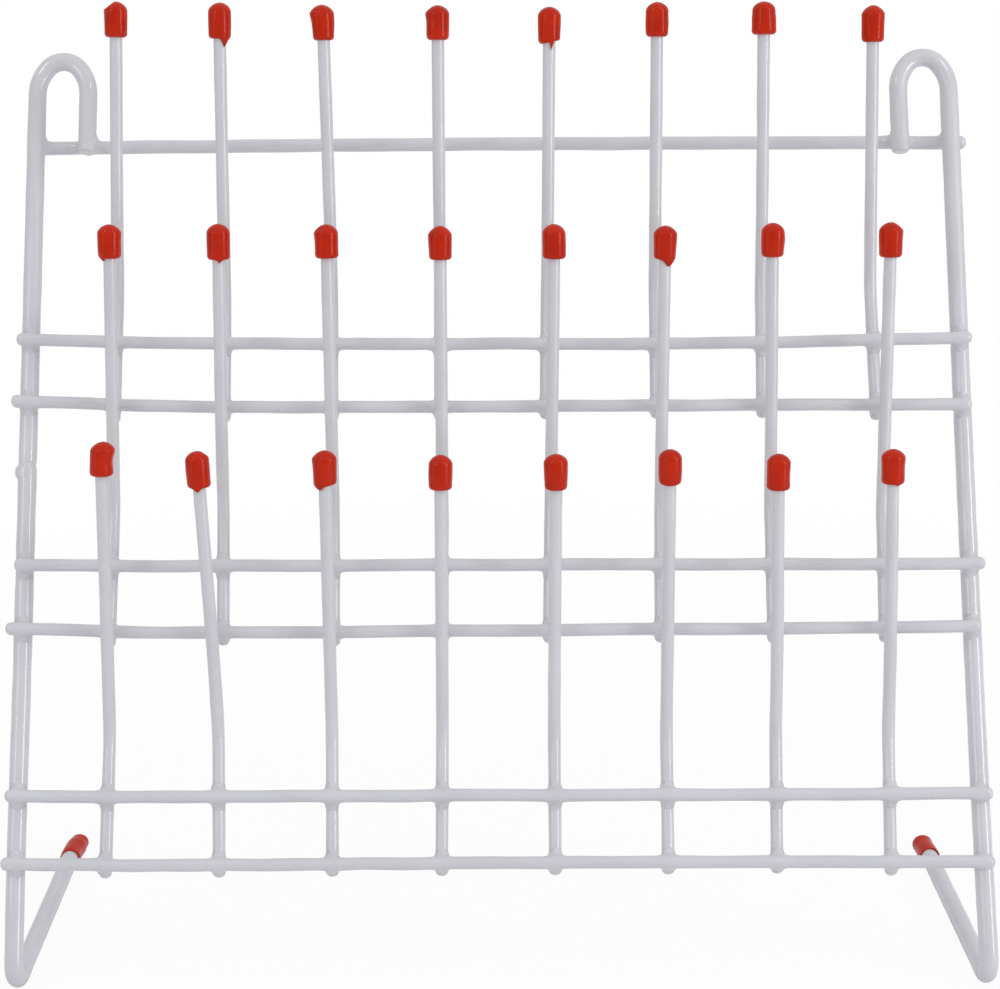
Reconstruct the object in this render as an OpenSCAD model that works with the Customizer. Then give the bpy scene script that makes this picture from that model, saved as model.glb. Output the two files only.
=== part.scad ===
// Drying pegboard rack: two bent side frames, seven cross rails and three tiers
// of bent pegs, all of plastic-dipped steel wire, with push-on caps on the pegs
// and on the rear ends of the feet.
// Millimetres. +Z is up, the pegs face -Y, and the origin lies on the bench
// under the middle of the rack.

/* [Rack] */
// Distance between the two uprights, centre to centre
rack_width = 360; // [300:5:420]
// How far the frame leans back from the vertical, in degrees
frame_lean = 23.5; // [10:0.5:30]

/* [Side frames] */
// Diameter of the side frame wire over its coating
frame_wire_d = 7; // [5:0.5:9]
// Centreline radius of the bend between upright and foot
foot_bend_r = 5.5; // [5:0.5:22]
// Straight run of each foot, from the bend to the end of the wire
foot_len = 117.5; // [80:0.5:160]
// Distance between the upright and the inner leg of its hook loop, centre to centre
hook_spacing = 20; // [16:1:30]
// Straight run of the hook loop above the top rail
hook_rise = 19.5; // [10:0.5:40]
// Centreline radius of the hook loop's crown
hook_crown_r = 8; // [7:0.5:10]
// How far each leg of the hook loop bends, at a wider radius, before the crown starts
hook_leg_bend = 40; // [20:1:60]
// How far the inner leg of the hook loop ends below the top rail's centreline
hook_tail = 5; // [4:0.5:15]
// Edge radius of the hook loop's cut end
hook_end_round = 1.2; // [0.4:0.1:2]

/* [Rails] */
// Diameter of the six tier rails
rail_d = 4.7; // [3:0.1:6]
// Diameter of the top rail
top_rail_d = 5.2; // [3:0.1:7]
// How far each rail runs past the centreline of the upright
rail_overhang = 4; // [2:0.5:15]
// Edge radius of a rail's ends
rail_end_round = 1.4; // [0.4:0.1:1.4]
// Height of the lowest rail, measured along the upright from its foot
lowest_rail_rise = 43.5; // [32:0.5:80]
// Distance between the two rails of a tier
rail_gap = 25; // [15:1:32]
// Distance from one tier to the next, along the upright
tier_pitch = 86.5; // [78:0.5:110]
// Distance from the highest tier rail to the top rail
top_rail_rise = 83; // [40:1:120]

/* [Pegs] */
// Number of pegs in a tier
pegs_per_tier = 8; // [4:1:8]
// Distance from the upright to the first peg, centre to centre
side_margin = 34; // [24:1:50]
// Diameter of the peg wire over its coating
peg_d = 4.8; // [3:0.1:6]
// How far a peg reaches below the centreline of its lower rail
peg_stub = 5; // [4:0.5:12]
// Edge radius of a peg's lower end
peg_end_round = 1.4; // [0.4:0.1:1.4]
// Height of the bend's corner above the upper rail of the tier
peg_bend_rise = 23; // [12:1:28]
// Centreline radius of the bend
peg_bend_r = 40; // [10:5:60]
// How far the upper part of a peg bends forward, in degrees
peg_bend = 18.5; // [15:0.5:30]
// Length of the upper part, from the bend's corner to the end of the wire
peg_tip_len = 105.5; // [60:0.5:140]
// Twist, about its own axis, of the one peg that is welded on askew, in degrees
askew_twist = -8; // [-20:1:20]

/* [Caps] */
// Thickness of a peg cap's wall
peg_cap_wall = 2.1; // [1.9:0.1:4]
// Length of a peg cap
peg_cap_len = 13; // [9:0.1:30]
// Thickness of a foot cap's wall
foot_cap_wall = 0.8; // [0.8:0.1:3]
// Length of a foot cap
foot_cap_len = 18; // [9:0.5:30]
// Thickness of a cap's closed end
cap_end = 1.8; // [1:0.1:4]
// Corner radius of a cap's closed end
cap_dome = 3; // [1:0.1:3.4]
// Edge radius of a cap's open end
cap_rim = 0.4; // [0.1:0.1:0.6]
// Air gap between the end of a wire and the inside of its cap
cap_gap = 0.2; // [0.1:0.1:1]

/* [Welds] */
// How far two crossing wires sink into each other at a weld
weld_sink = 0.8; // [0.2:0.1:1.2]
// How far a weld bead spreads past the thicker of the two wires it joins
weld_spread = 0.3; // [0.1:0.1:0.4]

/* [Hidden] */
$fn = 64;

TIERS = ["bottom", "middle", "top"];
ASKEW_TIER = 0;
ASKEW_PEG = 1;

// How proud and how long the collar is where a bend meets a straight run
seam = 0.02;
seam_len = 0.4;

COAT_WHITE = [0.85, 0.86, 0.88];
CAP_RED = [0.85, 0.20, 0.10];

frame_r = frame_wire_d / 2;
rail_r = rail_d / 2;
top_rail_r = top_rail_d / 2;
peg_r = peg_d / 2;
peg_cap_r = peg_r + peg_cap_wall;
foot_cap_r = frame_r + foot_cap_wall;
upright_x = rack_width / 2;
hook_x = upright_x - hook_spacing;
hook_mid_x = upright_x - hook_spacing / 2;
rail_len = rack_width + 2 * rail_overhang;

// Heights along the upright, from where its centreline would meet the bench line
last_tier = len(TIERS) - 1;
function lower_rail_s(tier) = lowest_rail_rise + tier * tier_pitch;
function upper_rail_s(tier) = lower_rail_s(tier) + rail_gap;
top_rail_s = upper_rail_s(last_tier) + top_rail_rise;
hook_bend_s = top_rail_s + hook_rise;
hook_end_s = top_rail_s - hook_tail;

// The hook loop has three arcs: its legs bend at a wide radius that brings them
// in from the loop's full width to the crown's own circle
hook_leg_r = (hook_spacing / 2 - hook_crown_r * cos(hook_leg_bend)) / (1 - cos(hook_leg_bend));
crown_s = hook_bend_s + (hook_leg_r - hook_crown_r) * sin(hook_leg_bend);

// Depths at right angles to the frame: the tier rails lie on the front of the
// uprights, the pegs behind the tier rails, and the top rail behind the uprights
tier_rail_y = -(frame_r + rail_r - weld_sink);
peg_y = tier_rail_y + rail_r + peg_r - weld_sink;
top_rail_y = frame_r + top_rail_r - weld_sink;

// Each row of pegs is centred between the uprights
peg_pitch = (rack_width - 2 * side_margin) / (pegs_per_tier - 1);
function peg_x(peg) = side_margin - upright_x + peg * peg_pitch;
function peg_twist(tier, peg) = tier == ASKEW_TIER && peg == ASKEW_PEG ? askew_twist : 0;

// The bend of the foot touches the bench, and the foot rises behind it by the
// angle at which the rim of its cap touches the bench too
foot_bend_y = foot_bend_r * (1 + sin(frame_lean)) / cos(frame_lean);
foot_cap_start = foot_len + cap_gap + cap_end - foot_cap_len;
foot_reach = foot_cap_start + cap_rim;
foot_swing = foot_bend_r + foot_cap_r;
foot_rise = acos((foot_bend_r + frame_r) / norm([foot_swing, foot_reach]))
            - atan2(foot_reach, foot_swing);

// The origin is midway between the front of the foot bend and the back of the
// hook, or of the foot where that reaches further
front_y = foot_bend_y - foot_bend_r - frame_r;
hook_back_y = (crown_s + hook_crown_r) * sin(frame_lean) + frame_r;
foot_back_y = foot_bend_y + foot_bend_r * sin(foot_rise)
              + (foot_cap_start + foot_cap_len) * cos(foot_rise);
origin_y = (front_y + max(hook_back_y, foot_back_y)) / 2;

// Puts children on the bench with the foot of the uprights at its place
module on_bench() {
    translate([0, -origin_y, frame_r]) children();
}

// Leans children back with the frame: here +Z runs up the uprights, -Y is the front
module in_frame() {
    on_bench() rotate([-frame_lean, 0, 0]) children();
}

// Outline of half a rod of this radius and length, with its lower edge rounded
module rod_outline(radius, length, edge) {
    intersection() {
        union() {
            translate([0, edge]) square([radius, length - edge]);
            square([radius - edge, length]);
            translate([radius - edge, edge]) circle(edge);
        }
        square([radius, length]);
    }
}

// A straight wire along +Z with a cut and rounded end at the bottom
module wire_up(radius, length, edge) {
    rotate_extrude() rod_outline(radius, length, edge);
}

// A bend of wire in the XY plane, starting on +X
module wire_bend(radius, bend_radius, angle) {
    rotate_extrude(angle = angle) translate([bend_radius, 0]) circle(radius);
}

// Hair-thin collars in which a bend of wire fuses with its neighbours
module bend_collars(radius, bend_radius, angles) {
    for (angle = angles)
        rotate([0, 0, angle]) translate([bend_radius, 0, 0]) rotate([90, 0, 0])
            cylinder(h = seam_len, r = radius + seam, center = true);
}

// A bend with a collar at each end
module collared_bend(radius, bend_radius, angle) {
    wire_bend(radius, bend_radius, angle);
    bend_collars(radius, bend_radius, [0, angle]);
}

// Hook loop in the XZ plane, from one leg over the crown to the other
module hook_loop() {
    for (side = [0, 1]) mirror([side, 0, 0])
        translate([hook_spacing / 2 - hook_leg_r, 0, 0]) rotate([90, 0, 0]) {
            wire_bend(frame_r, hook_leg_r, hook_leg_bend);
            bend_collars(frame_r, hook_leg_r, [0]);
        }
    translate([0, 0, crown_s - hook_bend_s]) rotate([90, 0, 0]) rotate([0, 0, hook_leg_bend])
        collared_bend(frame_r, hook_crown_r, 180 - 2 * hook_leg_bend);
}

// Side frame on the +X side: one bent wire with hook loop, upright and foot
module side_frame() {
    upright_start = foot_bend_y * sin(frame_lean) + foot_bend_r * cos(frame_lean);
    color(COAT_WHITE) {
        in_frame() {
            translate([upright_x, 0, upright_start])
                cylinder(h = hook_bend_s - upright_start, r = frame_r);
            translate([hook_mid_x, 0, hook_bend_s]) hook_loop();
            translate([hook_x, 0, hook_end_s])
                wire_up(frame_r, hook_bend_s - hook_end_s, hook_end_round);
        }
        on_bench() translate([upright_x, foot_bend_y, foot_bend_r]) {
            rotate([90, 0, 90]) rotate([0, 0, 180 - frame_lean])
                collared_bend(frame_r, foot_bend_r, 90 + frame_lean + foot_rise);
            along_foot() cylinder(h = foot_len, r = frame_r);
        }
    }
}

// From the centre of the foot bend to the start of the foot: +Z runs to the rear
module along_foot() {
    rotate([foot_rise, 0, 0]) translate([0, 0, -foot_bend_r]) rotate([-90, 0, 0]) children();
}

// A straight rail along X with cut and rounded ends
module rail_wire(radius) {
    rotate([0, 90, 0])
        for (end = [0, 1]) mirror([0, 0, end]) translate([0, 0, -rail_len / 2])
            wire_up(radius, rail_len / 2, rail_end_round);
}

// An upright wire at x, as long as is needed to cut a weld bead to it
module crossing_wire(x, y, radius) {
    translate([x, y, 0]) cylinder(h = 4 * (radius + weld_spread), r = radius, center = true);
}

// A weld bead at x, y, with its poles to front and rear, inside the two wires
module weld_bead(x, y, radius) {
    translate([x, y, 0]) rotate([90, 0, 0]) sphere(radius);
}

// Tier rail with a weld bead at each upright and each peg that crosses behind it
module tier_rail(s) {
    upright_bead = max(frame_r, rail_r) + weld_spread;
    peg_bead = max(peg_r, rail_r) + weld_spread;
    weld_y = tier_rail_y + rail_r - weld_sink / 2;
    color(COAT_WHITE) in_frame() translate([0, 0, s]) difference() {
        union() {
            translate([0, tier_rail_y, 0]) rail_wire(rail_r);
            for (side = [-1, 1]) weld_bead(side * upright_x, weld_y, upright_bead);
            for (peg = [0 : pegs_per_tier - 1]) weld_bead(peg_x(peg), weld_y, peg_bead);
        }
        for (side = [-1, 1]) crossing_wire(side * upright_x, 0, frame_r);
        for (peg = [0 : pegs_per_tier - 1]) crossing_wire(peg_x(peg), peg_y, peg_r);
    }
}

// Top rail, welded to the back of both legs of each hook loop
module top_rail() {
    bead = max(frame_r, top_rail_r) + weld_spread;
    weld_y = frame_r - weld_sink / 2;
    leg_xs = [-upright_x, -hook_x, hook_x, upright_x];
    color(COAT_WHITE) in_frame() translate([0, 0, top_rail_s]) difference() {
        union() {
            translate([0, top_rail_y, 0]) rail_wire(top_rail_r);
            for (x = leg_xs) weld_bead(x, weld_y, bead);
        }
        for (x = leg_xs) crossing_wire(x, 0, frame_r);
    }
}

// From the foot of a peg to its own frame: +Z up the lower part, bend towards -Y
module at_peg(tier, peg) {
    in_frame() translate([peg_x(peg), peg_y, lower_rail_s(tier) - peg_stub])
        rotate([0, 0, peg_twist(tier, peg)]) children();
}

peg_corner = peg_stub + rail_gap + peg_bend_rise;
bend_tangent = peg_bend_r * tan(peg_bend / 2);

// From a peg's own frame to the corner of its bend: +Z runs up the bent part
module above_bend() {
    translate([0, 0, peg_corner]) rotate([peg_bend, 0, 0]) children();
}

// Peg: straight behind its two rails, then bent forward towards its cap
module peg(tier, peg) {
    color(COAT_WHITE) at_peg(tier, peg) {
        wire_up(peg_r, peg_corner - bend_tangent, peg_end_round);
        translate([0, -peg_bend_r, peg_corner - bend_tangent])
            rotate([90, 0, 90]) collared_bend(peg_r, peg_bend_r, peg_bend);
        above_bend() translate([0, 0, bend_tangent])
            cylinder(h = peg_tip_len - bend_tangent, r = peg_r);
    }
}

// Push-on cap, open at z = 0, whose bore is the wire's own size
module cap(wire_r, radius, length) {
    color(CAP_RED) rotate_extrude() difference() {
        intersection() {
            rod_outline(radius, length, cap_rim);
            translate([0, length]) mirror([0, 1]) rod_outline(radius, length, cap_dome);
        }
        square([wire_r, length - cap_end]);
    }
}

module peg_cap(tier, peg) {
    at_peg(tier, peg) above_bend()
        translate([0, 0, peg_tip_len + cap_gap + cap_end - peg_cap_len])
            cap(peg_r, peg_cap_r, peg_cap_len);
}

module foot_cap() {
    on_bench() translate([upright_x, foot_bend_y, foot_bend_r]) along_foot()
        translate([0, 0, foot_cap_start]) cap(frame_r, foot_cap_r, foot_cap_len);
}

mirror([1, 0, 0]) side_frame();  // left_side_frame
side_frame();  // right_side_frame
top_rail();
for (tier = [0 : last_tier]) {
    tier_rail(lower_rail_s(tier));
    tier_rail(upper_rail_s(tier));
    for (peg = [1 : pegs_per_tier]) {
        peg(tier, peg - 1);
        peg_cap(tier, peg - 1);
    }
}
mirror([1, 0, 0]) foot_cap();  // left_foot_cap
foot_cap();  // right_foot_cap
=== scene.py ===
"""Looks of the drying pegboard rack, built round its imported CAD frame.

Every wire and cap of the frame is rebuilt as a plastic-dipped wire or a soft
vinyl cap, with the small bows, leans, fillets and torn edges of a real one.
Lengths are millimetres until a mesh is made, and metres for lamps and floor.
"""

import math

import bpy
import numpy as np
from mathutils import Matrix


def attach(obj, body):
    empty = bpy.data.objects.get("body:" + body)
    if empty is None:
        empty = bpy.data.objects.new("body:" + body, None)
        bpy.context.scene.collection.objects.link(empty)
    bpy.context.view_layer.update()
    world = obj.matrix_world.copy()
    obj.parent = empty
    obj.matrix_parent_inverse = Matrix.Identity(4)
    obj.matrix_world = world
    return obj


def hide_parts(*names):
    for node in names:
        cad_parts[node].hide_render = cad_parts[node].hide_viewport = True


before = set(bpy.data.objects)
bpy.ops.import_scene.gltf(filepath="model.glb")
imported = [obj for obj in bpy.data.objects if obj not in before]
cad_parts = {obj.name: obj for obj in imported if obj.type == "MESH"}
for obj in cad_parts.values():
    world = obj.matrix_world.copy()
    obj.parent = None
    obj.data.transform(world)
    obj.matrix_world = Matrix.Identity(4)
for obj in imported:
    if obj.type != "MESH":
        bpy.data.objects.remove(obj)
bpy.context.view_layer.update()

MM = 0.001
SEED = 20
RNG = np.random.default_rng(SEED)

# ---------------------------------------------------------------------------
# Sizes, as in the part's source, and what follows from them
# ---------------------------------------------------------------------------
RACK_WIDTH = 360.0
LEAN = math.radians(23.5)
FRAME_R = 3.5
FOOT_BEND_R = 5.5
FOOT_LEN = 117.5
HOOK_SPACING = 20.0
HOOK_RISE = 19.5
HOOK_CROWN_R = 8.0
HOOK_LEG_BEND = math.radians(40.0)
HOOK_TAIL = 5.0
RAIL_R = 2.35
TOP_RAIL_R = 2.6
LOWEST_RAIL_RISE = 43.5
RAIL_GAP = 25.0
TIER_PITCH = 86.5
TOP_RAIL_RISE = 83.0
PEGS = 8
SIDE_MARGIN = 34.0
PEG_R = 2.4
PEG_STUB = 5.0
PEG_BEND_RISE = 23.0
PEG_BEND_R = 40.0
PEG_BEND = math.radians(18.5)
PEG_TIP_LEN = 105.5
PEG_CAP_R = 4.5
FOOT_CAP_R = 4.3
FOOT_CAP_LEN = 18.0
CAP_END = 1.8
CAP_GAP = 0.2
CAP_RIM = 0.4
WELD_SINK = 0.8
TIERS = ("bottom", "middle", "top")

UPRIGHT_X = RACK_WIDTH / 2
HOOK_X = UPRIGHT_X - HOOK_SPACING
TOP_RAIL_S = LOWEST_RAIL_RISE + 2 * TIER_PITCH + RAIL_GAP + TOP_RAIL_RISE
HOOK_BEND_S = TOP_RAIL_S + HOOK_RISE
HOOK_LEG_R = (HOOK_SPACING / 2 - HOOK_CROWN_R * math.cos(HOOK_LEG_BEND)) / (
    1 - math.cos(HOOK_LEG_BEND)
)
CROWN_S = HOOK_BEND_S + (HOOK_LEG_R - HOOK_CROWN_R) * math.sin(HOOK_LEG_BEND)
RAIL_Y = -(FRAME_R + RAIL_R - WELD_SINK)
PEG_Y = RAIL_Y + RAIL_R + PEG_R - WELD_SINK
TOP_RAIL_Y = FRAME_R + TOP_RAIL_R - WELD_SINK
PEG_PITCH = (RACK_WIDTH - 2 * SIDE_MARGIN) / (PEGS - 1)
PEG_CORNER = PEG_STUB + RAIL_GAP + PEG_BEND_RISE

FOOT_BEND_Y = FOOT_BEND_R * (1 + math.sin(LEAN)) / math.cos(LEAN)
FOOT_CAP_START = FOOT_LEN + CAP_GAP + CAP_END - FOOT_CAP_LEN
FOOT_REACH = FOOT_CAP_START + CAP_RIM
FOOT_SWING = FOOT_BEND_R + FOOT_CAP_R
FOOT_RISE = math.acos(
    (FOOT_BEND_R + FRAME_R) / math.hypot(FOOT_SWING, FOOT_REACH)
) - math.atan2(FOOT_REACH, FOOT_SWING)
FRONT_Y = FOOT_BEND_Y - FOOT_BEND_R - FRAME_R
HOOK_BACK_Y = (CROWN_S + HOOK_CROWN_R) * math.sin(LEAN) + FRAME_R
FOOT_BACK_Y = (
    FOOT_BEND_Y
    + FOOT_BEND_R * math.sin(FOOT_RISE)
    + (FOOT_CAP_START + FOOT_CAP_LEN) * math.cos(FOOT_RISE)
)
ORIGIN_Y = (FRONT_Y + max(HOOK_BACK_Y, FOOT_BACK_Y)) / 2

# Axes of the leaning frame: across, to the rear at right angles to it, and up it.
# Heights called s are measured along UP.
ACROSS = np.array([1.0, 0.0, 0.0])
REAR = np.array([0.0, math.cos(LEAN), -math.sin(LEAN)])
UP = np.array([0.0, math.sin(LEAN), math.cos(LEAN)])
FRAME_ORIGIN = np.array([0.0, -ORIGIN_Y, FRAME_R])


def in_frame(x, y, s):
    """Points given across, behind and up the leaning frame, in the row frame."""
    x, y, s = np.broadcast_arrays(x, y, s)
    return FRAME_ORIGIN + x[..., None] * ACROSS + y[..., None] * REAR + s[..., None] * UP


# ---------------------------------------------------------------------------
# What makes this one rack differ from its drawing: bows, leans, uneven ends
# ---------------------------------------------------------------------------
BOW_X = (-184.0, -165.0, -135.0, -95.0, 0.0, 90.0, 135.0, 165.0, 184.0)
# Rail: overhang at the left and at the right, then its rise at each of BOW_X
RAILS = {
    "bottom_tier_lower_rail": (4.8, 4.0, (1.0, 0.7, 0.2, 0.1, 0.2, -0.1, -0.4, -0.6, -0.7)),
    "bottom_tier_upper_rail": (4.0, 4.2, (0.9, 0.7, 0.3, 0.2, 0.0, -0.4, -0.5, -0.5, -0.5)),
    "middle_tier_lower_rail": (5.5, 2.6, (2.0, 1.5, 0.3, 0.0, 0.1, 0.2, 0.2, 0.5, 0.8)),
    "middle_tier_upper_rail": (2.9, 5.1, (1.2, 0.9, 0.5, 0.3, 0.1, -0.3, -0.6, -0.6, -0.6)),
    "top_tier_lower_rail": (5.8, 2.6, (3.0, 2.3, 0.9, 0.2, -0.2, -0.2, -0.3, -0.4, -0.5)),
    "top_tier_upper_rail": (4.5, 3.7, (2.2, 1.7, 0.7, 0.1, -0.6, -0.8, -0.1, 0.5, 0.9)),
    "top_rail": (3.0, 7.0, (-0.9, -0.8, -0.5, -0.3, 0.0, -0.1, -0.2, -0.4, -0.5)),
}
# Upright: how far it stands off its line, at each of these heights
UPRIGHT_S = (0.0, 30.0, 120.0, 200.0, 335.0)
UPRIGHT_OFF = {-1: (0.2, -0.1, 0.1, 0.0, -0.2), 1: (0.8, 0.6, 0.2, 0.0, -0.1)}
# Foot: sideways offset at its bend and its rear end, how far the bend stands to
# the front, and extra length of the wire
FOOT_OFF = {-1: (0.8, 0.0, 0.0, 5.6), 1: (0.6, 0.6, 2.2, -0.8)}
# Hook: extra length of its inner leg
HOOK_OFF = {-1: -0.4, 1: 1.0}
# Peg: sideways offset at the rails, at the bend and at the tip, then extra length
# at the tip and at the stub. PEG_AT is where along the peg the first three hold.
PEG_AT = (18.0, 55.0, 155.0)
PEG_OFF = {
    "bottom": (
        (-0.4, 0.0, 0.3, 4.3, -0.5), (-0.3, -1.0, -6.0, 0.6, -0.5),
        (0.3, 0.0, -1.0, 0.6, -0.5), (-0.5, -0.2, 0.0, -1.3, -0.5),
        (0.0, 0.1, 0.9, -1.3, -0.5), (0.4, 0.6, 1.3, 0.2, -0.5),
        (-0.6, 0.0, -0.4, -1.7, -0.5), (0.1, 0.7, 0.2, -0.2, 0.6),
    ),
    "middle": (
        (-0.7, -0.2, 1.3, 0.6, 0.0), (0.2, -0.2, 0.4, 0.6, -0.5),
        (0.4, 0.1, -0.8, 0.2, 0.0), (-0.1, 0.0, 0.1, -0.6, 0.0),
        (-1.1, -0.3, 1.2, -0.2, -0.5), (-0.6, 0.0, 1.1, -1.0, -0.5),
        (0.2, 0.3, -0.2, -0.2, 0.0), (1.0, 1.5, 2.5, -0.2, 0.0),
    ),
    "top": (
        (-0.8, -0.5, 1.9, 1.8, 0.0), (-0.4, -0.7, -0.4, 1.2, 0.0),
        (-0.7, -1.0, -2.6, 0.2, 0.0), (-0.7, -0.7, -0.6, -0.2, 0.0),
        (-1.5, -0.8, 0.3, -1.0, -0.5), (-0.8, -0.6, -0.3, 0.6, -0.5),
        (-1.5, -1.0, -1.2, 0.6, -0.5), (0.2, -0.2, -1.2, -1.0, 0.6),
    ),
}


def smooth_through(x, knots, values):
    """A gentle curve through a few knots, carried on straight outside them."""
    knots, values = np.asarray(knots, float), np.asarray(values, float)
    slope = np.gradient(values, knots)
    x = np.asarray(x, float)
    i = np.clip(np.searchsorted(knots, x) - 1, 0, len(knots) - 2)
    h = knots[i + 1] - knots[i]
    u = np.clip((x - knots[i]) / h, 0, 1)
    inside = (
        values[i] * (1 + 2 * u) * (1 - u) ** 2
        + slope[i] * h * u * (1 - u) ** 2
        + values[i + 1] * u * u * (3 - 2 * u)
        + slope[i + 1] * h * u * u * (u - 1)
    )
    low, high = np.minimum(x - knots[0], 0), np.maximum(x - knots[-1], 0)
    return inside + low * slope[0] + high * slope[-1]


# ---------------------------------------------------------------------------
# Lines and swept wires
# ---------------------------------------------------------------------------
# Distance between the points of a line
LINE_STEP = 0.25
# Rings over a rounded end, the gap to the ring after them, and how far the point
# that closes the end stands out
END_RINGS, END_CLEAR, END_BULGE = 7, 0.3, 0.1
# A wire's radius wavers slowly, over at most this length
WAVER_LONGEST = 60.0


class Bent:
    """The centreline of a bent wire, as a dense line of points."""

    def __init__(self, start, heading):
        self.points = [np.array(start, float)]
        self.heading = np.array(heading, float)
        self.towards = None

    def straight(self, length):
        count = max(2, int(length / LINE_STEP))
        base = self.points[-1]
        for k in range(1, count + 1):
            self.points.append(base + self.heading * length * k / count)
        return self

    def arc(self, radius, angle, towards=None):
        """Bends by angle towards a direction square to the wire, or on as before."""
        side = self.towards if towards is None else np.array(towards, float)
        count = max(2, int(radius * angle / LINE_STEP))
        base, ahead = self.points[-1], self.heading
        for k in range(1, count + 1):
            turn = angle * k / count
            self.points.append(
                base + radius * (math.sin(turn) * ahead + (1 - math.cos(turn)) * side)
            )
        self.heading = math.cos(angle) * ahead + math.sin(angle) * side
        self.towards = math.cos(angle) * side - math.sin(angle) * ahead
        return self

    def line(self):
        return np.array(self.points)


def lengths_along(line):
    return np.concatenate([[0], np.cumsum(np.linalg.norm(np.diff(line, axis=0), axis=1))])


def at_length(line, t):
    """Points of a line at lengths t along it, carried on straight past its ends."""
    run = lengths_along(line)
    t = np.asarray(t, float)
    out = np.stack([np.interp(t, run, line[:, i]) for i in range(3)], axis=1)
    first, last = line[1] - line[0], line[-1] - line[-2]
    out += np.minimum(t, 0)[:, None] * first / np.linalg.norm(first)
    out += np.maximum(t - run[-1], 0)[:, None] * last / np.linalg.norm(last)
    return out


def stations(length, step, fine_spots, fine_step, ends):
    """Lengths at which a wire gets a ring: close together at the fine spots, and
    closer still over its two rounded ends."""
    t = [0.0]
    while t[-1] < length:
        near = any(a <= t[-1] <= b for a, b in fine_spots)
        t.append(t[-1] + (fine_step if near else step))
    t = np.array(t)
    start, stop = ends
    bend = np.linspace(0, math.pi / 2, END_RINGS)
    head, tail = start * (1 - np.sin(bend)), length - stop * (1 - np.sin(bend))
    middle = t[(t > start + END_CLEAR) & (t < length - stop - END_CLEAR)]
    return np.unique(np.round(np.concatenate([head, middle, tail]), 5))


def end_profile(t, length, radius, ends):
    """A wire's radius over its length, with both ends rounded."""
    r = np.full_like(t, radius)
    start, stop = ends
    for into, edge in ((start - t, start), (t - (length - stop), stop)):
        over = into > 0
        r[over] = radius - edge + np.sqrt(np.maximum(edge**2 - into[over] ** 2, 0))
    return r


def transport(points):
    """Two side vectors at each point, turning as little as possible."""
    tangent = np.gradient(points, axis=0)
    tangent /= np.linalg.norm(tangent, axis=1)[:, None]
    guess = np.array([0.0, 1.0, 0.0]) if abs(tangent[0][1]) < 0.8 else ACROSS
    side = guess - tangent[0] * (guess @ tangent[0])
    sides = []
    for direction in tangent:
        side = side - direction * (side @ direction)
        side = side / np.linalg.norm(side)
        sides.append(side)
    sides = np.array(sides)
    return sides, np.cross(tangent, sides)


def ring_faces(rings, count):
    """Quads between rings of count points, and fans that close the first and the
    last ring with the two points that follow them."""
    faces = []
    for i in range(rings - 1):
        near, far = i * count, (i + 1) * count
        for j in range(count):
            k = (j + 1) % count
            faces.append((near + j, near + k, far + k, far + j))
    last_ring = (rings - 1) * count
    first, last = rings * count, rings * count + 1
    for j in range(count):
        k = (j + 1) % count
        faces.append((first, k, j))
        faces.append((last, last_ring + j, last_ring + k))
    return faces


def make_object(name, points, faces, material):
    """A smooth mesh object of points in millimetres, with none below the table."""
    mesh = bpy.data.meshes.new(name)
    points = np.array(points) * MM
    points[:, 2] = np.maximum(points[:, 2], 0.0)
    mesh.from_pydata(points.tolist(), [], faces)
    mesh.validate()
    mesh.polygons.foreach_set("use_smooth", [True] * len(mesh.polygons))
    mesh.materials.append(material)
    mesh.update()
    made = bpy.data.objects.new(name, mesh)
    bpy.context.scene.collection.objects.link(made)
    return made


def finish_piece(piece, node):
    """Hangs a piece on the root body and hides the node it stands in for."""
    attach(piece, "root")
    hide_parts(node)


def waves(t, amount, longest):
    """A slow, seeded waver over length t: five waves, none longer than longest."""
    count = 5
    out = np.zeros_like(t)
    for _ in range(count):
        wavelength = RNG.uniform(longest / 4, longest)
        out += np.sin(2 * math.pi * t / wavelength + RNG.uniform(0, 2 * math.pi))
    return out * amount / math.sqrt(count / 2)


def swept(node, line, radius, sides, steps, fine_spots, ends, waver,
          swell=None, flat_ends=False):
    """A dipped wire along a line, with rings at steps (coarse, fine) and its ends
    rounded. swell(t, angle) adds to its radius."""
    length = lengths_along(line)[-1]
    step, fine_step = steps
    t = stations(length, step, fine_spots, fine_step, ends)
    points = at_length(line, t)
    side, other = transport(points)
    angle = np.arange(sides) * 2 * math.pi / sides
    r = end_profile(t, length, radius, ends) + waves(t, waver, WAVER_LONGEST)
    r = np.repeat(r[:, None], sides, axis=1)
    if swell is not None:
        r = r + swell(t[:, None], angle[None, :])
    ring = (
        points[:, None, :]
        + r[..., None] * np.cos(angle)[None, :, None] * side[:, None, :]
        + r[..., None] * np.sin(angle)[None, :, None] * other[:, None, :]
    )
    bulge = 0.0 if flat_ends else END_BULGE
    tips = at_length(line, np.array([-bulge, length + bulge]))
    verts = np.concatenate([ring.reshape(-1, 3), tips])
    made = make_object(node + "_wire", verts, ring_faces(len(t), sides), COATING)
    if flat_ends:
        for face in made.data.polygons[-2 * sides:]:
            face.use_smooth = False
    finish_piece(made, node)


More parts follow.
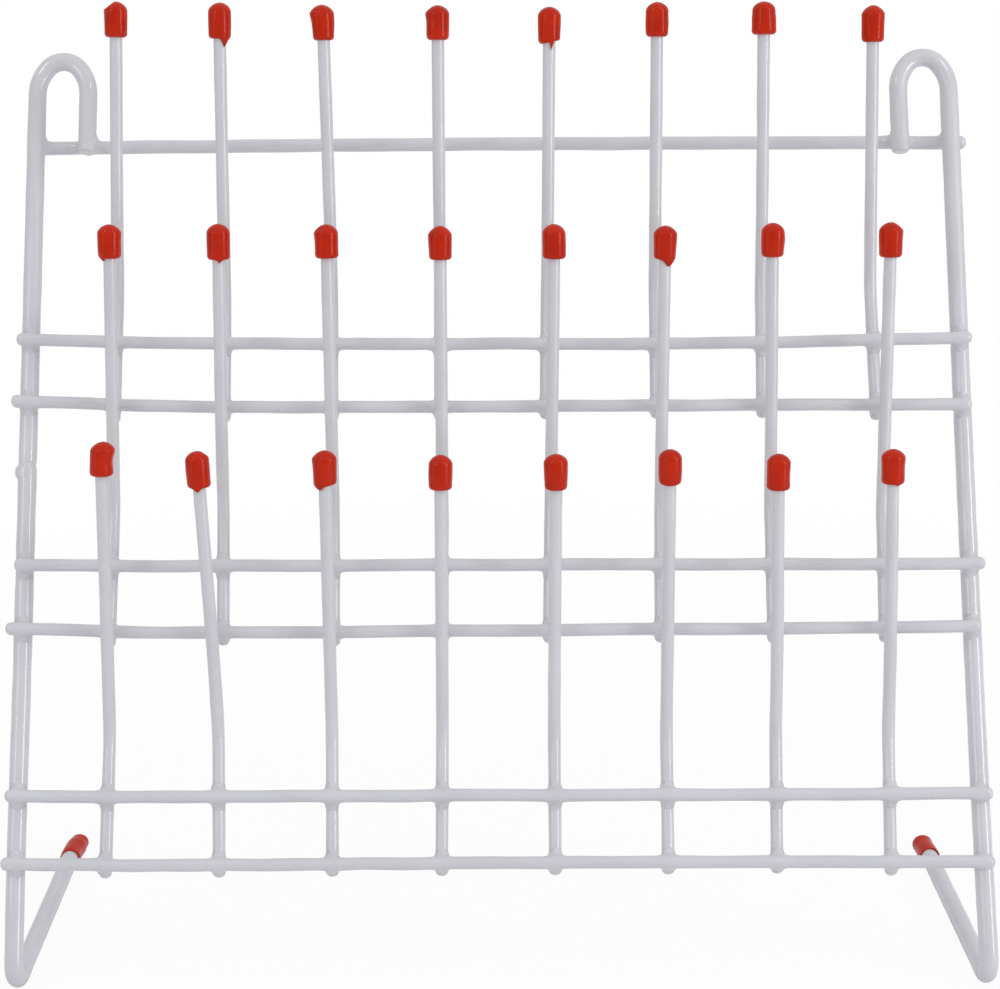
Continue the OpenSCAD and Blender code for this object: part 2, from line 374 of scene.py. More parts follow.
# ---------------------------------------------------------------------------
# Materials
# ---------------------------------------------------------------------------
# Tints are written 0-255 colours, the darker one first, and clouds the scale of
# the noise between them. Bumps are layers of (noise scale, strength, distance in
# metres), from the broad to the fine. Sockets are set on the shader itself.
COATING_TINTS = ((206, 206, 210), (213, 213, 217))
COATING_CLOUDS = 45.0
COATING_BUMPS = ((160.0, 0.25, 0.0003), (1300.0, 0.05, 0.00002))
COATING_ROUGHNESS = (0.13, 0.24)
COATING_SOCKETS = {"IOR": 1.47, "Coat Weight": 1.0, "Coat Roughness": 0.05}
VINYL_TINTS = ((184, 32, 0), (200, 39, 0))
VINYL_CLOUDS = 130.0
VINYL_BUMPS = ((240.0, 0.25, 0.0003), (1500.0, 0.08, 0.00003))
VINYL_SOCKETS = {
    "IOR": 1.5,
    "Roughness": 0.12,
    "Specular IOR Level": 0.2,
    "Subsurface Weight": 0.08,
    "Subsurface Radius": (0.0016, 0.0006, 0.0003),
    "Subsurface Scale": 1.0,
}
TINT_EDGES = (0.3, 0.7)
CLOUD_DETAIL, BUMP_DETAIL = 3.0, 2.0


def srgb(*values):
    """A written 0-255 colour as linear RGBA."""
    linear = [(v / 255 / 12.92) if v <= 10 else ((v / 255 + 0.055) / 1.055) ** 2.4 for v in values]
    return (*linear, 1.0)


def plastic(name, sockets, tints, clouds, bump_layers):
    """A plastic with a clouded tint and layers of fine bumps: the material, its
    shader and the clouds, for what else follows them."""
    material = bpy.data.materials.new(name)
    material.use_nodes = True
    nodes, links = material.node_tree.nodes, material.node_tree.links
    shader = nodes["Principled BSDF"]
    for socket, value in sockets.items():
        shader.inputs[socket].default_value = value
    coords = nodes.new("ShaderNodeTexCoord")

    def noise(scale, detail):
        node = nodes.new("ShaderNodeTexNoise")
        node.inputs["Scale"].default_value = scale
        node.inputs["Detail"].default_value = detail
        links.new(coords.outputs["Object"], node.inputs["Vector"])
        return node.outputs["Fac"]

    cloud = noise(clouds, CLOUD_DETAIL)
    ramp = nodes.new("ShaderNodeValToRGB")
    for element, edge, tint in zip(ramp.color_ramp.elements, TINT_EDGES, tints):
        element.position = edge
        element.color = srgb(*tint)
    links.new(cloud, ramp.inputs["Fac"])
    links.new(ramp.outputs["Color"], shader.inputs["Base Color"])
    below = None
    for scale, strength, distance in bump_layers:
        bump = nodes.new("ShaderNodeBump")
        bump.inputs["Strength"].default_value = strength
        bump.inputs["Distance"].default_value = distance
        links.new(noise(scale, BUMP_DETAIL), bump.inputs["Height"])
        if below is not None:
            links.new(below.outputs["Normal"], bump.inputs["Normal"])
        below = bump
    links.new(below.outputs["Normal"], shader.inputs["Normal"])
    return material, shader, cloud


def coating_material():
    """White dipped vinyl: smooth and glossy, with faint runs and clouding."""
    material, shader, cloud = plastic(
        "white_dip_coating", COATING_SOCKETS, COATING_TINTS, COATING_CLOUDS, COATING_BUMPS
    )
    links = material.node_tree.links
    gloss = material.node_tree.nodes.new("ShaderNodeMapRange")
    gloss.inputs["To Min"].default_value = COATING_ROUGHNESS[0]
    gloss.inputs["To Max"].default_value = COATING_ROUGHNESS[1]
    links.new(cloud, gloss.inputs["Value"])
    links.new(gloss.outputs["Result"], shader.inputs["Roughness"])
    return material


def cap_material():
    """Orange-red soft vinyl, glossy, a little uneven in colour."""
    return plastic("red_soft_vinyl", VINYL_SOCKETS, VINYL_TINTS, VINYL_CLOUDS, VINYL_BUMPS)[0]


COATING = coating_material()
VINYL = cap_material()

# ---------------------------------------------------------------------------
# Side frames
# ---------------------------------------------------------------------------
# Points round a wire, the steps between its rings (coarse, fine), the lengths
# over which its two ends are rounded and the waver of its radius
FRAME_SIDES = 40
FRAME_STEPS = (3.0, 0.45)
FRAME_ENDS = (1.3, 1.2)
FRAME_WAVER = 0.035
# Length over which the foot bend's step to the front fades out up the upright
FRONT_FADE = 55.0
# Stretches with close rings: past the crown, and round the foot bend's start
CROWN_CLEAR, BEND_CLEAR = 2.0, (-1.0, 13.0)
# Coating gathered in the foot bend: how thick, how far on, over which length
BEND_SWELL, BEND_SWELL_AT, BEND_SWELL_LENGTH = 0.12, 5.0, 6.0
# The ring-shaped blemish on the left upright: the wire between it and the foot
# bend, and half its length. Then its ridge and two hollows: height, place, length
# and power of the fade, and the angle and width in degrees.
BLEMISH_RUN, BLEMISH_HALF = 184.6, 6.0
BLEMISH = (
    (1.15, 0.0, 2.4, 4, (262, 40)),
    (-0.55, -3.0, 0.9, 2, (100, 30)),
    (-0.22, -2.6, 0.8, 2, (0, math.inf)),
)


def upright_x(side, s):
    return side * UPRIGHT_X + smooth_through(s, UPRIGHT_S, UPRIGHT_OFF[side])


def side_frame_line(side):
    """Centreline from the cut end of the hook's inner leg over the crown and down to
    the end of the foot, and the length along it at which the foot bend starts."""
    upright_start = FOOT_BEND_Y * math.sin(LEAN) + FOOT_BEND_R * math.cos(LEAN)
    bend_x, rear_x, front, extra = FOOT_OFF[side]
    leg = HOOK_RISE + HOOK_TAIL + HOOK_OFF[side]
    start = in_frame(side * HOOK_X, 0.0, HOOK_BEND_S - leg)
    bent = Bent(start, UP).straight(leg)
    bent.arc(HOOK_LEG_R, HOOK_LEG_BEND, side * ACROSS)
    bent.arc(HOOK_CROWN_R, math.pi - 2 * HOOK_LEG_BEND).arc(HOOK_LEG_R, HOOK_LEG_BEND)
    bent.straight(HOOK_BEND_S - upright_start)
    upright = len(bent.points)
    bent.arc(FOOT_BEND_R, math.pi / 2 + LEAN + FOOT_RISE, REAR).straight(FOOT_LEN + extra)
    line = bent.line()
    s = (line - FRAME_ORIGIN) @ UP
    run = lengths_along(line)
    bend = run[upright]
    along = np.clip((run - bend) / (run[-1] - bend), 0, 1)
    standing = smooth_through(s, UPRIGHT_S, UPRIGHT_OFF[side])
    lying = bend_x + (rear_x - bend_x) * along
    turn = np.clip((run - bend) / (FOOT_BEND_R * 2), 0, 1)
    line[:, 0] += standing * (1 - turn) + lying * turn
    line[:, 1] -= front * np.exp(-((bend - np.minimum(run, bend)) / FRONT_FADE) ** 2)
    return line, bend


def side_frame(side, node):
    line, bend = side_frame_line(side)
    run = lengths_along(line)
    crown = 2 * HOOK_LEG_R * HOOK_LEG_BEND + HOOK_CROWN_R * (math.pi - 2 * HOOK_LEG_BEND)
    blemish = bend - BLEMISH_RUN
    spots = [(0, HOOK_RISE + HOOK_TAIL + crown + CROWN_CLEAR),
             (bend + BEND_CLEAR[0], bend + BEND_CLEAR[1])]
    if side < 0:
        spots.append((blemish - BLEMISH_HALF, blemish + BLEMISH_HALF))
    # The wire's end leans as the cap on it does
    look = FOOT_CAP_LOOK[side]
    inside = np.clip(run - run[-1] + look[0] - CAP_GAP - CAP_END, 0, None)
    line[:, 0] += oddity(look, "lean", 0.0) * (inside / look[0]) ** 2

    def swell(t, angle):
        """Coating gathered in the foot bend, and the blemish on the left."""
        out = BEND_SWELL * np.exp(-(((t - bend - BEND_SWELL_AT) / BEND_SWELL_LENGTH) ** 2))
        for height, place, run_out, power, (centre, width) in BLEMISH if side < 0 else ():
            fade = np.exp(-(((t - blemish - place) / run_out) ** power))
            out = out + height * fade * lobe(angle, centre, width)
        return out

    swept(node, line, FRAME_R, FRAME_SIDES, FRAME_STEPS, spots, FRAME_ENDS, FRAME_WAVER,
          swell, flat_ends=True)


# ---------------------------------------------------------------------------
# Pegs
# ---------------------------------------------------------------------------
PEG_SIDES = 24
PEG_STEPS = (4.0, 1.6)
PEG_ENDS = (2.1, 0.8)
PEG_WAVER = 0.03
# The rings are closer together this far to each side of a peg's bend
PEG_BEND_HALF = 10.0


def lower_rail_s(tier):
    return LOWEST_RAIL_RISE + tier * TIER_PITCH


def peg_line(tier, peg):
    """Centreline of a peg, with its own sideways lean and length."""
    rails, bend, tip, extra, _ = PEG_OFF[TIERS[tier]][peg]
    x = SIDE_MARGIN - UPRIGHT_X + peg * PEG_PITCH
    tangent = PEG_BEND_R * math.tan(PEG_BEND / 2)
    bent = Bent(in_frame(x, PEG_Y, lower_rail_s(tier) - PEG_STUB), UP)
    bent.straight(PEG_CORNER - tangent).arc(PEG_BEND_R, PEG_BEND, -REAR)
    bent.straight(PEG_TIP_LEN - tangent + extra)
    line = bent.line()
    line[:, 0] += smooth_through(lengths_along(line), PEG_AT, (rails, bend, tip))
    return line


def peg_wire(tier, peg, node):
    line = peg_line(tier, peg)
    stub = PEG_OFF[TIERS[tier]][peg][4]
    line = at_length(line, np.arange(-stub, lengths_along(line)[-1], LINE_STEP))
    spots = [(PEG_CORNER - PEG_BEND_HALF, PEG_CORNER + PEG_BEND_HALF)]
    swept(node, line, PEG_R, PEG_SIDES, PEG_STEPS, spots, PEG_ENDS, PEG_WAVER)


# ---------------------------------------------------------------------------
# Rails, with the fillets of coating where they cross the other wires
# ---------------------------------------------------------------------------
RAIL_STEPS = (3.5, 0.45)
# Radius of the flat middle of a rail's end, and how far that middle stands out
RAIL_FLAT, RAIL_BULGE = 0.35, 0.15
# How much thicker a rail is near its ends, how far from them, over which length
END_SWELL, END_SWELL_AT, END_SWELL_LENGTH = 0.12, 2.5, 2.6
# The slow waver of a rail's height and of its radius: amount, longest wave
RISE_WAVER, RADIUS_WAVER = (0.06, 90), (0.03, 50)
# Angles round a rail, 0 at the rear: every 10 degrees, and close together where
# the fillets run out on the crossing wires behind the rail
FINE_DEGREES = (42, 46, 54, 58, 60, 64, 68, *range(70, 84, 2))
RAIL_DEGREES = sorted({*range(-180, 180, 10), *FINE_DEGREES, *(-a for a in FINE_DEGREES)})
RAIL_ANGLES = np.radians(RAIL_DEGREES)
# How far to each side of a crossing the rings are close together
CROSSING_REACH = 7.5
# How far the coating stands out from the rail at most, and the fillets' reach
SPREAD, REACH = 4.6, 4.2
# The same below the rail, round wires that end less than SHORT_END below it: in
# rings less than SHORT_MARGIN beside the wire, on angles with a sine under this
SHORT_SPREAD, SHORT_REACH, SHORT_END = 2.6, 3.6, 12.0
SHORT_MARGIN, SHORT_SINE = 4.0, -0.25
# How much the reach shrinks outside the uprights, and over which length
OUTER_LOSS, OUTER_FADE = 2.0, 3.0
# For the fillets a crossing wire is this much thinner and shorter than it is, and
# a peg's stub, which is rounder, shorter still
CROSSING_THINNER, CROSSING_SHORTER, STUB_SHORTER = 0.04, 0.8, 0.7
# How far a wire that goes on is taken to reach below a rail
GOES_ON = 99.0
MARCH_STEPS = 60


def soft_union(a, b, reach):
    """Signed distance to two solids with a fillet of this reach between them."""
    h = np.maximum(reach - np.abs(a - b), 0) / reach
    return np.minimum(a, b) - h * h * reach / 4


def rail_crossings(tier, s):
    """Where wires cross a rail at height s: x, depth, radius, sideways slope and
    how far they go on below it. The top rail has no tier."""
    found = [(float(upright_x(side, s)), 0.0, FRAME_R, 0.0, GOES_ON) for side in (-1, 1)]
    if tier is None:
        for side in (-1, 1):
            leg_end = HOOK_BEND_S - HOOK_RISE - HOOK_TAIL - HOOK_OFF[side]
            found.append((side * HOOK_X, 0.0, FRAME_R, 0.0, s - leg_end))
        return found
    for peg in range(PEGS):
        line = peg_line(tier, peg)
        t = s - (lower_rail_s(tier) - PEG_STUB)
        x = at_length(line, np.array([t, t + 1.0]))[:, 0]
        stub_end = t + PEG_OFF[TIERS[tier]][peg][4] - STUB_SHORTER
        found.append((float(x[0]), PEG_Y, PEG_R, float(x[1] - x[0]), stub_end))
    return found


def rail(node, s, y, radius, tier):
    """A rail as rings along X, each point moved out to the filleted surface."""
    left, right, bow = RAILS[node]
    start, end = -UPRIGHT_X - left, UPRIGHT_X + right
    length = end - start
    crossings = rail_crossings(tier, s)
    spots = [(x - start - CROSSING_REACH, x - start + CROSSING_REACH) for x, *_ in crossings]
    edge = radius - RAIL_FLAT
    step, fine_step = RAIL_STEPS
    t = stations(length, step, spots, fine_step, (edge, edge))
    x = start + t
    angle = RAIL_ANGLES[None, :]
    sides = len(RAIL_ANGLES)
    rise = smooth_through(x, BOW_X, bow) + waves(x, *RISE_WAVER)
    local_r = radius + waves(t, *RADIUS_WAVER)
    local_r = local_r + END_SWELL * (
        np.exp(-(((t - END_SWELL_AT) / END_SWELL_LENGTH) ** 2))
        + np.exp(-(((length - END_SWELL_AT - t) / END_SWELL_LENGTH) ** 2))
    )
    profile = end_profile(t, length, 0.0, (edge, edge)) + local_r
    rho = np.repeat(profile[:, None], sides, axis=1)

    # The coating spreads along the crossing wires, but less outside the uprights
    # and on short ends below
    spread, reach = np.full_like(rho, SPREAD), np.full_like(rho, REACH)
    reach -= OUTER_LOSS * np.clip((np.abs(x)[:, None] - UPRIGHT_X) / OUTER_FADE, 0, 1)
    for cx, _, cr, _, below in crossings:
        if below < SHORT_END:
            beside = np.abs(x - cx)[:, None] < cr + SHORT_MARGIN
            short = beside & (np.sin(angle) < SHORT_SINE)
            spread[short], reach[short] = SHORT_SPREAD, SHORT_REACH

    half = length / 2
    beyond = np.abs(t - half)[:, None] - (half - edge)
    for _ in range(MARCH_STEPS):
        depth = y + rho * np.cos(angle)
        height = rise[:, None] + rho * np.sin(angle)
        out = rho - (local_r[:, None] - edge)
        own = (
            np.hypot(np.maximum(out, 0), np.maximum(beyond, 0))
            + np.minimum(np.maximum(out, beyond), 0)
            - edge
        )
        value = own
        for cx, cy, cr, slope, below in crossings:
            away = (x[:, None] - cx - slope * height) / math.hypot(1, slope)
            other = np.maximum(
                np.hypot(away, depth - cy) - cr, -height - below + CROSSING_SHORTER
            ) + CROSSING_THINNER
            value = np.minimum(value, soft_union(own, other, reach))
        rho = np.minimum(rho + np.maximum(-value, 0), profile[:, None] + spread)
    points = in_frame(
        np.repeat(x[:, None], sides, axis=1),
        y + rho * np.cos(angle),
        s + rise[:, None] + rho * np.sin(angle),
    )
    tips_x = np.array([start, end]) + [-RAIL_BULGE, RAIL_BULGE]
    tips = in_frame(tips_x, y, s + rise[[0, -1]])
    verts = np.concatenate([points.reshape(-1, 3), tips])
    faces = [tuple(reversed(f)) for f in ring_faces(len(t), sides)]
    made = make_object(node + "_wire", verts, faces, COATING)
    finish_piece(made, node)


# ---------------------------------------------------------------------------
# Caps
# ---------------------------------------------------------------------------
CAP_SIDES = 48
# A cap points the way its wire does over this last stretch
CAP_AIM = 6.0
# How much smaller the radius is than in the source, the mouth's narrowing, the
# height of the rounded end and the rounding of the rim
PEG_CAP_FORM = (0.08, 0.1, 3.4, 1.5)
FOOT_CAP_FORM = (0.1, 0.0, 2.6, 0.35)
# Clearance of the bore round the wire, and where it opens to the mouth: height
# and clearance
BORE_CLEAR, BORE_END_CLEAR = 0.06, 0.04
BORE_MOUTH = ((1.0, 0.08), (0.35, 0.14), (0.05, 0.3))
# Rings along the bore, the rim, the wall and the closed end
BORE_RINGS, RIM_RINGS, WALL_RINGS, DOME_RINGS = 5, 7, 13, 13
# How closely the closed end's rings crowd at its tip, how it rounds off, and its
# point where no oddity gives one
DOME_CROWDING, DOME_ROUNDING, DOME_POINT = 1.7, 0.55, 1.7
# A cap's unevenness: amount, waves round it, and their turn for each millimetre
CAP_WAVER = ((0.05, 2, 0.2), (0.04, 1, 0.35), (0.03, 3, -0.3), (0.04, 0, 0.6))
# How high the mouth's oddities reach, and half the height of the others
MOUTH_REACH, SHOULDER_HALF, PINCH_HALF = 3.2, 1.9, 2.2
# How the narrowing of the mouth fades upwards, and how far a torn tail draws in
TAPER_FADE, NIB_DRAW = 1.3, 0.55
# The plane of a cut shoulder: its slope (sideways, upwards) and its clearance
CUT_OUT, CUT_UP, CUT_CLEAR = 0.62, 0.78, 1.1
# A step: its length, then its lip's height, distance below it and half length
STEP_LENGTH, LIP, LIP_BELOW, LIP_HALF = 0.7, 0.22, 0.3, 0.5
# Each peg cap: its length, then its oddities. Angles are degrees round the cap,
# 0 at the right, 90 at the rear, 180 at the left and 270 at the front.
#   lean x           the closed end stands x to the right of the mouth
#   slant d          the mouth reaches d lower at the right than at the left
#   taper d          the mouth is narrower by d
#   flare a w d      the shoulder stands out by d at angle a, over w degrees
#   pinch a w h d    the wall is pressed in by d at angle a and height h
#   nib a w d        a torn tail of d hangs from the mouth at angle a
#   cut a d          the shoulder is cut off flat at angle a, d deep
#   step h d         the wall steps in by d at height h, behind a small lip
#   dome p           p under 1.5 makes the closed end more pointed, over it rounder
CAP_LOOK = {
    "bottom": (
        (12.8, ("lean", 0.9), ("flare", 0, 50, 0.3), ("pinch", 0, 50, 5.5, 0.3), ("taper", -0.1)),
        (13.7, ("nib", 262, 24, 1.4), ("cut", 20, 0.4), ("dome", 1.9), ("taper", -0.15)),
        (13.3, ("nib", 232, 28, 1.1), ("slant", -0.5), ("flare", 182, 14, 0.25), ("lean", 0.2)),
        (13.1, ("dome", 1.5), ("cut", 0, 0.3), ("cut", 180, 0.3), ("taper", -0.1)),
        (13.4, ("taper", 0.05), ("flare", 180, 14, 0.15), ("dome", 2.0)),
        (13.1, ("taper", 0.1), ("nib", 262, 60, 0.4), ("dome", 1.8)),
        (13.6, ("pinch", 270, 60, 9.6, 0.15), ("pinch", 0, 40, 9.0, -0.15)),
        (13.1, ("flare", 5, 25, 0.2), ("nib", 300, 16, 0.6), ("dome", 1.8)),
    ),
    "middle": (
        (12.8, ("nib", 222, 14, 1.0), ("flare", 0, 30, 0.15)),
        (13.5, ("nib", 283, 16, 1.2), ("pinch", 250, 30, 4.0, 0.25)),
        (12.8, ("flare", 180, 14, 0.35), ("taper", -0.2)),
        (12.8, ("dome", 1.35)),
        (13.1, ("taper", -0.1), ("lean", -0.2)),
        (12.9, ("nib", 300, 38, 2.3), ("slant", 0.3), ("taper", 0.2)),
        (12.8, ("pinch", 2, 20, 6.5, -0.3), ("taper", 0.15)),
        (13.2, ("cut", 12, 0.8), ("flare", 0, 14, 0.3)),
    ),
    "top": (
        (13.5, ("cut", 190, 1.0), ("flare", 180, 12, 0.3), ("pinch", 330, 50, 6.0, 0.12)),
        (13.7, ("nib", 316, 20, 2.8), ("lean", 0.3), ("slant", 0.2)),
        (13.4, ("flare", 180, 35, 0.45), ("lean", -0.4), ("taper", 0.2)),
        (13.1, ("flare", 178, 16, 0.4), ("cut", 185, 0.3)),
        (13.4, ("slant", -0.6), ("nib", 286, 9, 3.2)),
        (13.1, ("taper", 0.1), ("pinch", 0, 180, 5.0, -0.1)),
        (12.5, ("dome", 2.0), ("taper", -0.35), ("pinch", 0, 60, 6.0, -0.2),
         ("pinch", 180, 60, 6.0, -0.2)),
        (13.9, ("taper", 0.15), ("dome", 1.35)),
    ),
}
# The same for the caps on the left and the right foot
FOOT_CAP_LOOK = {
    -1: (19.4, ("step", 12.6, 0.35), ("lean", 1.5), ("nib", 250, 40, 0.3)),
    1: (15.5, ("lean", -0.9), ("flare", 300, 60, 0.1), ("dome", 1.8)),
}


def oddity(look, wanted, otherwise):
    """The number that goes with one kind of oddity, or another if there is none."""
    return next((v[0] for kind, *v in look[1:] if kind == wanted), otherwise)


def cap_profile(wire_r, radius, length, dome, rim, point):
    """(height over the open end, radius) from inside the bore, over the rim and
    the wall, to the closed end, with the number of points inside the bore."""
    bore_end = length - CAP_END
    out = [(bore_end, wire_r * 0.6), (bore_end - 0.4, wire_r + BORE_END_CLEAR)]
    out += [(h, wire_r + BORE_CLEAR) for h in np.linspace(bore_end - 2, 2.0, BORE_RINGS)]
    out += [(h, wire_r + clear) for h, clear in BORE_MOUTH]
    bore = len(out)
    for a in np.linspace(0, math.pi / 2, RIM_RINGS):
        out.append((rim * (1 - math.cos(a)), radius - rim + rim * math.sin(a)))
    out += [(h, radius) for h in np.linspace(rim + 0.7, length - dome, WALL_RINGS)]
    for u in 1 - (1 - np.linspace(0, 1, DOME_RINGS + 2)[1:-1]) ** DOME_CROWDING:
        out.append((length - dome + dome * u, radius * (1 - u**point) ** DOME_ROUNDING))
    return np.array(out), bore


def lobe(angle, centre, width):
    """1 at an angle, fading to 0 over a width on both sides, in degrees."""
    off = (np.degrees(angle) - centre + 180) % 360 - 180
    return np.exp(-((off / width) ** 2))


def cap(node, line, wire_r, radius, look, form):
    """A push-on cap on the last stretch of a wire."""
    length, *oddities = look
    less, taper, dome, rim = form
    radius = radius - less
    total = lengths_along(line)[-1]
    base, ahead = at_length(line, np.array([total - CAP_AIM, total]))
    axis = (ahead - base) / np.linalg.norm(ahead - base)
    low = ahead + axis * (CAP_GAP + CAP_END - length)
    side = ACROSS - axis * (ACROSS @ axis)
    side /= np.linalg.norm(side)
    other = np.cross(axis, side)
    point = oddity(look, "dome", DOME_POINT)
    profile, bore = cap_profile(wire_r, radius, length, dome, rim, point)
    angle = np.arange(CAP_SIDES) * 2 * math.pi / CAP_SIDES
    h = np.repeat(profile[:, :1], CAP_SIDES, axis=1)
    r = np.repeat(profile[:, 1:], CAP_SIDES, axis=1)
    a = np.repeat(angle[None, :], len(profile), axis=0)

    # Where each oddity acts: on the outside only, at the mouth or at the shoulder
    outer = (np.arange(len(profile)) >= bore)[:, None] * np.minimum(r / radius, 1) ** 2
    shoulder = length - dome
    up = np.clip((h - rim) / (shoulder - rim), 0, 1)
    low_part = np.clip(1 - h / MOUTH_REACH, 0, 1) ** 2
    top_part = np.exp(-(((h - shoulder) / SHOULDER_HALF) ** 2))

    phases = RNG.uniform(0, 2 * math.pi, 5)  # the fifth is spare
    uneven = sum(
        amount * np.sin(round_it * a + phase + h * turn)
        for (amount, round_it, turn), phase in zip(CAP_WAVER, phases)
    )
    r = r + outer * (uneven - taper * (1 - np.sin(up * math.pi / 2)))
    sideways = np.zeros_like(h)
    for kind, *v in oddities:
        if kind == "lean":
            sideways = sideways + v[0] * (np.clip(h, 0, None) / length) ** 2
        elif kind == "slant":
            h = h - v[0] * np.cos(a) * low_part
        elif kind == "taper":
            r = r - outer * v[0] * (1 - up) ** TAPER_FADE
        elif kind == "flare":
            r = r + outer * top_part * v[2] * lobe(a, v[0], v[1])
        elif kind == "pinch":
            near = np.exp(-(((h - v[2]) / PINCH_HALF) ** 2))
            r = r - outer * v[3] * lobe(a, v[0], v[1]) * near
        elif kind == "nib":
            tail = low_part * lobe(a, v[0], v[1])
            r = r - outer * tail * NIB_DRAW
            h = h - v[2] * tail
        elif kind == "cut":
            across = np.cos(a - math.radians(v[0]))
            plane = CUT_OUT * radius + CUT_UP * shoulder + CUT_CLEAR - v[1]
            over = np.maximum(CUT_OUT * r * across + CUT_UP * h - plane, 0)
            h = h - CUT_UP * over
            r = r - CUT_OUT * over * across
        elif kind == "step":
            beyond = np.clip((h - v[0]) / STEP_LENGTH, 0, 1)
            lip = np.exp(-(((h - v[0] + LIP_BELOW) / LIP_HALF) ** 2))
            r = r + outer * (LIP * lip - v[1] * beyond)
    ring = low + h[..., None] * axis + sideways[..., None] * side + r[..., None] * (
        np.cos(a)[..., None] * side + np.sin(a)[..., None] * other
    )
    ends = low + np.outer([profile[0, 0], h[-1].mean() + 0.05], axis)
    ends[1] += sideways[-1, 0] * side
    verts = np.concatenate([ring.reshape(-1, 3), ends])
    faces = ring_faces(len(profile), CAP_SIDES)
    made = make_object(node + "_vinyl", verts, faces, VINYL)
    finish_piece(made, node)


# ---------------------------------------------------------------------------
# The rack
# ---------------------------------------------------------------------------
for side, name in ((-1, "left"), (1, "right")):
    side_frame(side, name + "_side_frame")
    foot_line, _ = side_frame_line(side)
    cap(name + "_foot_cap", foot_line, FRAME_R, FOOT_CAP_R, FOOT_CAP_LOOK[side], FOOT_CAP_FORM)
rail("top_rail", TOP_RAIL_S, TOP_RAIL_Y, TOP_RAIL_R, None)
for tier, name in enumerate(TIERS):
    rail(name + "_tier_lower_rail", lower_rail_s(tier), RAIL_Y, RAIL_R, tier)
    rail(name + "_tier_upper_rail", lower_rail_s(tier) + RAIL_GAP, RAIL_Y, RAIL_R, tier)
    for peg in range(PEGS):
        peg_wire(tier, peg, f"{name}_peg_{peg + 1}")
        cap(f"{name}_cap_{peg + 1}", peg_line(tier, peg), PEG_R, PEG_CAP_R,
            CAP_LOOK[name][peg], PEG_CAP_FORM)

# ---------------------------------------------------------------------------
# Camera, fitted to the crossings of the wires
# ---------------------------------------------------------------------------
CAMERA_AT = np.array([-3.348, -739.56 - ORIGIN_Y, 376.342])
PITCH = math.radians(14.168)
YAW = math.radians(0.321)
ROLL = math.radians(0.283)
FOCAL_PX = 2185.9
FRAME_PX = 1000.0
SENSOR = 36.0


def make_camera():
    forward = np.array([
        math.sin(YAW) * math.cos(PITCH), math.cos(YAW) * math.cos(PITCH), -math.sin(PITCH),
    ])
    right = np.array([math.cos(YAW), -math.sin(YAW), 0.0])
    down = np.cross(forward, right)
    right, down = (
        math.cos(ROLL) * right + math.sin(ROLL) * down,
        math.cos(ROLL) * down - math.sin(ROLL) * right,
    )
    made = bpy.data.objects.new("camera", bpy.data.cameras.new("camera"))
    bpy.context.scene.collection.objects.link(made)
    made.data.sensor_width = SENSOR
    made.data.lens = FOCAL_PX / FRAME_PX * SENSOR
    made.data.clip_start, made.data.clip_end = 0.05, 30.0
    placed = Matrix((right, -down, -forward)).transposed().to_4x4()
    placed.translation = CAMERA_AT * MM
    made.matrix_world = placed
    return made


camera = make_camera()
bpy.context.scene.camera = camera

# ---------------------------------------------------------------------------
# Floor, world and lamps
# ---------------------------------------------------------------------------
FLOOR_HALF = 4.0
FLOOR_COLOUR = (0.85, 0.85, 0.86, 1)
# Share of plain white in what the camera sees of the floor, and the distances
# from the middle between which it grows
FLOOR_WHITE, FLOOR_FADE = (0.94, 1.0), (0.25, 0.75)
WORLD_COLOUR = (0.965, 0.975, 1.0, 1)
# Light of the surroundings: the same from everywhere, then more from each heading
WORLD_ALL = 0.49
WORLD_LIGHT = (((1, 0, 0), 0.12), ((0, 0, 1), 0.38))
# Lamps: place, width, height, watts. All of them face LAMP_TARGET.
LAMP_TARGET = np.array([0.0, 0.0, 0.2])
LAMPS = {
    "right_softbox": ((1.3, -0.75, 0.45), 0.55, 1.4, 3.4),
    "right_strip": ((1.22, -0.74, 0.52), 0.17, 0.66, 1.8),
    "left_strip": ((-1.34, -1.45, 1.05), 0.22, 0.9, 2.4),
    "left_softbox": ((-1.3, -0.75, 0.45), 0.4, 1.2, 0.9),
    "left_lamp": ((-0.75, -0.6, 1.35), 0.3, 0.14, 0.8),
    "right_lamp": ((0.75, -0.6, 1.35), 0.3, 0.14, 0.8),
}


def seen_white(nodes, links, lit, output, white_kind, share=None):
    """Mixes a plain white of strength 1 into what the camera sees: all of it, or as
    much as share says."""
    seen = nodes.new("ShaderNodeLightPath").outputs["Is Camera Ray"]
    if share is not None:
        part = nodes.new("ShaderNodeMath")
        part.operation = "MULTIPLY"
        links.new(seen, part.inputs[0])
        links.new(share, part.inputs[1])
        seen = part.outputs["Value"]
    white = nodes.new(white_kind)
    white.inputs["Color"].default_value = (1, 1, 1, 1)
    white.inputs["Strength"].default_value = 1.0
    mix = nodes.new("ShaderNodeMixShader")
    links.new(seen, mix.inputs["Fac"])
    links.new(lit.outputs[0], mix.inputs[1])
    links.new(white.outputs[0], mix.inputs[2])
    links.new(mix.outputs["Shader"], output.inputs["Surface"])


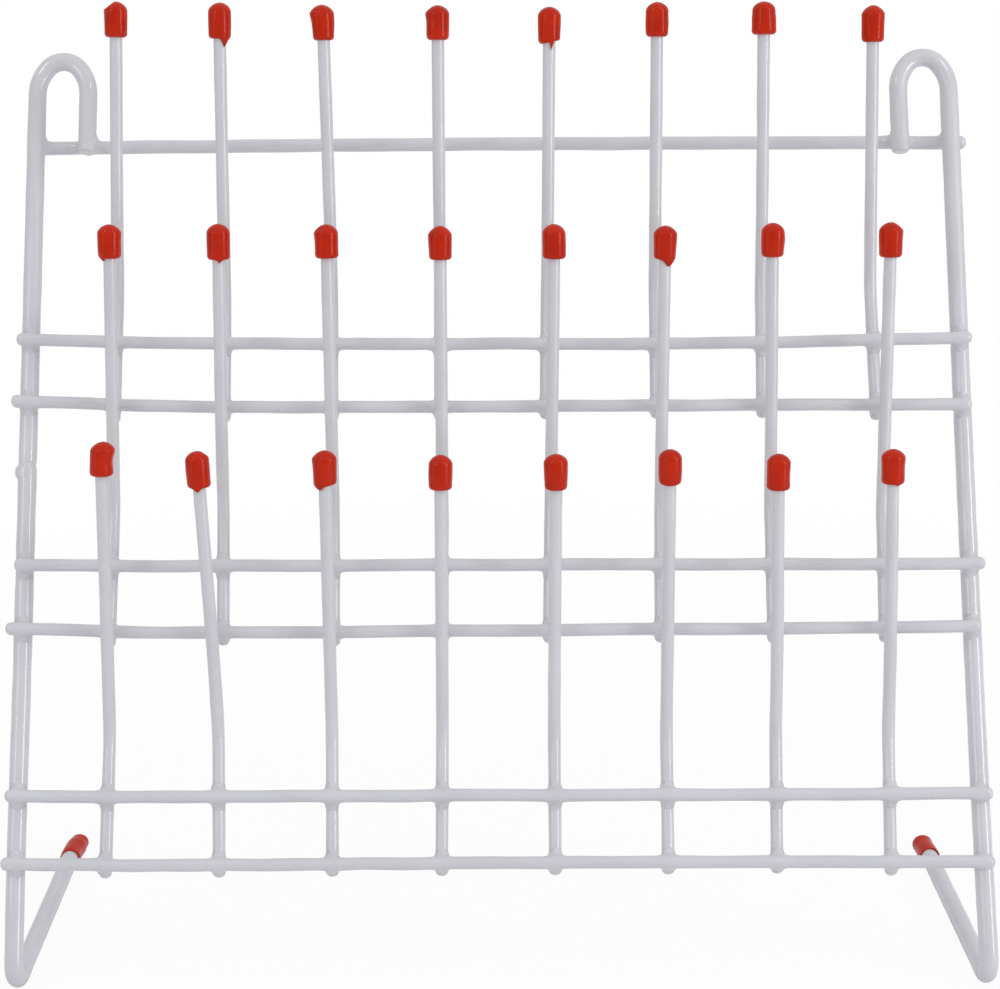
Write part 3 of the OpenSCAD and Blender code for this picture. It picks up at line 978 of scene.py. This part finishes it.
def make_floor():
    mesh = bpy.data.meshes.new("floor")
    corners = [(x * FLOOR_HALF, y * FLOOR_HALF, 0) for x, y in ((-1, -1), (1, -1), (1, 1), (-1, 1))]
    mesh.from_pydata(corners, [], [(0, 1, 2, 3)])
    floor = bpy.data.objects.new("floor", mesh)
    bpy.context.scene.collection.objects.link(floor)
    material = bpy.data.materials.new("pale_floor")
    material.use_nodes = True
    nodes, links = material.node_tree.nodes, material.node_tree.links
    shader = nodes["Principled BSDF"]
    shader.inputs["Base Color"].default_value = FLOOR_COLOUR
    shader.inputs["Roughness"].default_value = 0.9
    shader.inputs["Specular IOR Level"].default_value = 0.1
    coords = nodes.new("ShaderNodeTexCoord")
    away = nodes.new("ShaderNodeVectorMath")
    away.operation = "LENGTH"
    links.new(coords.outputs["Object"], away.inputs[0])
    fade = nodes.new("ShaderNodeMapRange")
    fade.inputs["From Min"].default_value = FLOOR_FADE[0]
    fade.inputs["From Max"].default_value = FLOOR_FADE[1]
    fade.inputs["To Min"].default_value = FLOOR_WHITE[0]
    fade.inputs["To Max"].default_value = FLOOR_WHITE[1]
    links.new(away.outputs["Value"], fade.inputs["Value"])
    seen_white(nodes, links, shader, nodes["Material Output"], "ShaderNodeEmission",
               fade.outputs["Result"])
    mesh.materials.append(material)


def make_world():
    """Daylight-pale surroundings, with more light from some sides than from others."""
    world = bpy.data.worlds.new("studio")
    world.use_nodes = True
    bpy.context.scene.world = world
    nodes, links = world.node_tree.nodes, world.node_tree.links
    light = nodes["Background"]
    light.inputs["Color"].default_value = WORLD_COLOUR
    coords = nodes.new("ShaderNodeTexCoord")
    total = None
    for heading, strength in WORLD_LIGHT:
        dot = nodes.new("ShaderNodeVectorMath")
        dot.operation = "DOT_PRODUCT"
        dot.inputs[1].default_value = heading
        links.new(coords.outputs["Generated"], dot.inputs[0])
        part = nodes.new("ShaderNodeMath")
        part.operation = "MULTIPLY"
        part.use_clamp = True
        part.inputs[1].default_value = strength
        links.new(dot.outputs["Value"], part.inputs[0])
        added = nodes.new("ShaderNodeMath")
        added.operation = "ADD"
        if total is None:
            added.inputs[1].default_value = WORLD_ALL
        else:
            links.new(total.outputs["Value"], added.inputs[1])
        links.new(part.outputs["Value"], added.inputs[0])
        total = added
    links.new(total.outputs["Value"], light.inputs["Strength"])
    seen_white(nodes, links, light, nodes["World Output"], "ShaderNodeBackground")


def lamp(name, at, width, height, watts):
    data = bpy.data.lights.new(name, "AREA")
    data.shape = "RECTANGLE"
    data.size, data.size_y = width, height
    data.energy = watts
    made = bpy.data.objects.new(name, data)
    bpy.context.scene.collection.objects.link(made)
    aim = LAMP_TARGET - np.array(at)
    aim /= np.linalg.norm(aim)
    across = np.cross(aim, [0.0, 0.0, 1.0])
    across /= np.linalg.norm(across)
    placed = Matrix((across, np.cross(across, aim), -aim)).transposed().to_4x4()
    placed.translation = at
    made.matrix_world = placed


make_floor()
make_world()
for name, (at, width, height, watts) in LAMPS.items():
    lamp(name, at, width, height, watts)

bpy.context.scene.view_settings.view_transform = "Standard"
